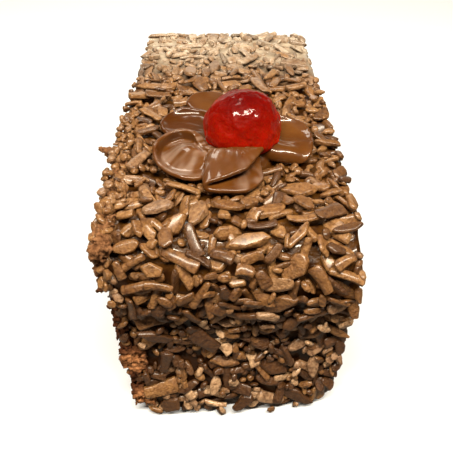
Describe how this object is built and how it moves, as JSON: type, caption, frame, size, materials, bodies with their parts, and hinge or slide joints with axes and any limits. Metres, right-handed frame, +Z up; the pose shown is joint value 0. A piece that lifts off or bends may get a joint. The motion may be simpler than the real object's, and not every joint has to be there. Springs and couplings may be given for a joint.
{
  "type": "slice of chocolate cake",
  "caption": "Free-standing slice of chocolate log cake: sponge in a glaze coat stuck with chocolate flakes, topped with a piped chocolate flower and half a glace cherry.",
  "frame": {"origin": "middle of the base", "axes": "+Z up, +Y along the slice from its front to its back, +X to the right seen from the front; the cut sides face -X and +X"},
  "size_m": [0.0558, 0.1286, 0.0702],
  "materials": {
    "sponge": "open chocolate crumb, dull",
    "coat": "milk chocolate flakes on a shiny chocolate glaze",
    "flower": "glossy piped chocolate",
    "cherry": "wet, translucent glace fruit"
  },
  "bodies": {
    "root": {"sponge": "sponge", "coat": "coat", "flower": "flower", "cherry": "cherry"}
  },
  "joints": []
}
